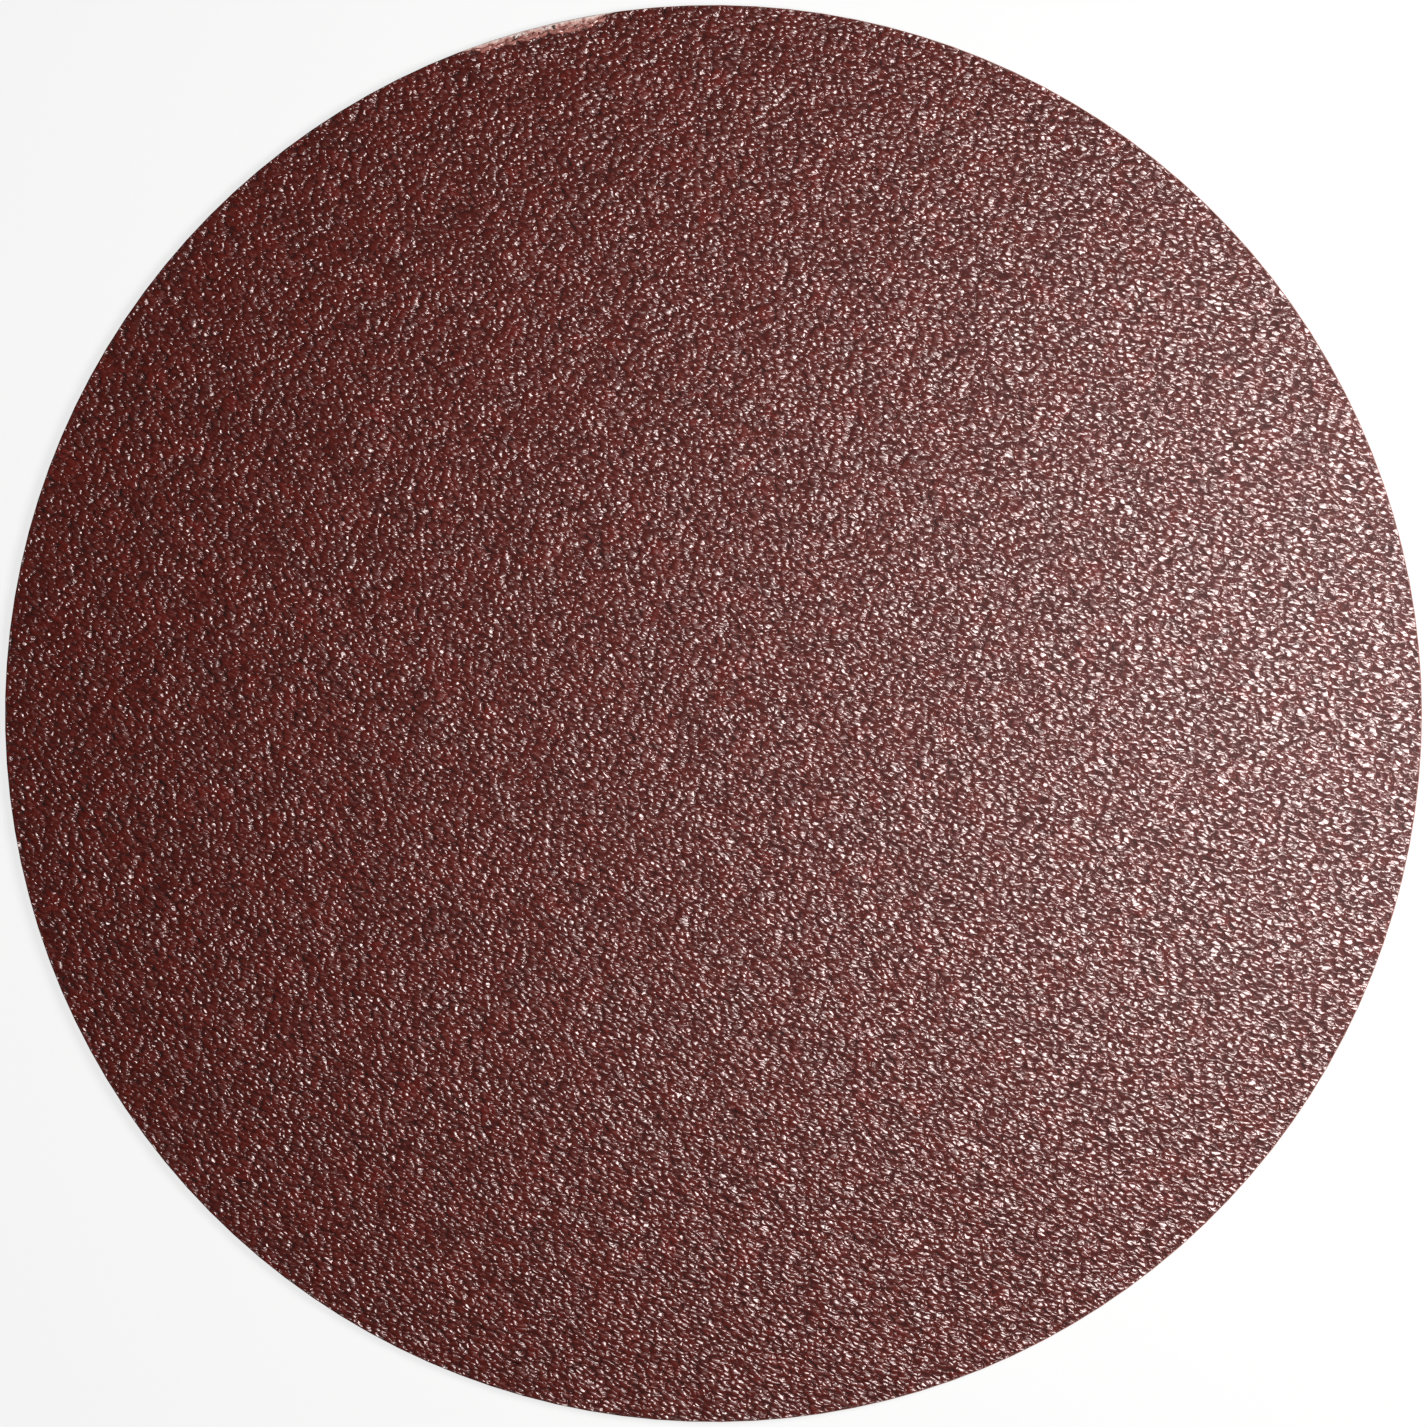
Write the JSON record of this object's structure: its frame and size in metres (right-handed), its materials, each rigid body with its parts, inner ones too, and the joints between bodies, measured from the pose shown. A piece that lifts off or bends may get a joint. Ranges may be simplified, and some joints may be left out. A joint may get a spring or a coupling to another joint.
{
  "type": "fibre sanding disc",
  "caption": "Plain round fibre sanding disc with no centre hole: coarse brown-red grain in resin on a vulcanised fibre sheet, with a short stretch of grain broken off its rim.",
  "frame": {"origin": "centre of the back face, on the surface that the disc lies on", "axes": "+Z points out of the grain, square to the disc. +X points to the right and +Y to the top of the disc as the picture shows it, with the broken stretch of rim left of the top"},
  "size_m": [0.125, 0.125, 0.0015],
  "materials": {
    "abrasive_coat": "coarse brown-red aluminium oxide grain under a glossy resin coat",
    "fibre_backing": "dark red-brown vulcanised fibre, smooth and dull, paler where its edge is cut"
  },
  "bodies": {
    "root": {"abrasive_coat": "abrasive_coat", "fibre_backing": "fibre_backing"}
  },
  "joints": []
}
